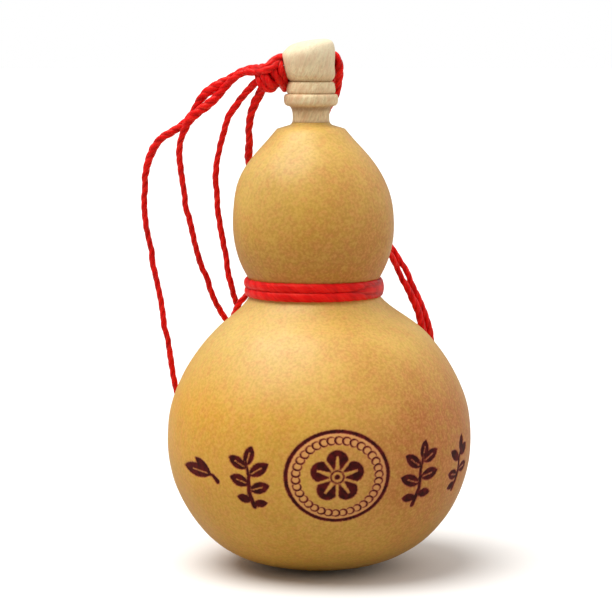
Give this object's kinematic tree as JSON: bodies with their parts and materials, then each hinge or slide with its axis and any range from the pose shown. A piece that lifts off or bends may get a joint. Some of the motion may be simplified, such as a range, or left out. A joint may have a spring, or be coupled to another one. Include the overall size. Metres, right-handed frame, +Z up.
{
  "type": "dried bottle gourd",
  "caption": "Dried bottle gourd with a narrow bound waist, a turned wooden mouth and stopper, and a long limp red cord.",
  "frame": {"origin": "middle of the flat foot, on the surface that the gourd stands on", "axes": "+Z up through the mouth, -Y the front with the markings"},
  "size_m": [0.067, 0.0655, 0.1063],
  "materials": {
    "gourd_rind": "dried, scraped and hand-polished rind with scorched markings",
    "turned_wood": "fine turned pale hardwood, unvarnished",
    "satin_cord": "soft twisted satin cord"
  },
  "bodies": {
    "root": {"gourd": "gourd_rind", "mouthpiece": "turned_wood", "stopper": "turned_wood", "waist_binding": "satin_cord", "stopper_knot": "satin_cord", "waist_knot": "satin_cord", "tail_knot": "satin_cord", "hanging_loop": "satin_cord", "loose_tail": "satin_cord", "neck_tether": "satin_cord", "outer_tether": "satin_cord", "inner_tether": "satin_cord", "waist_tail": "satin_cord"}
  },
  "joints": []
}
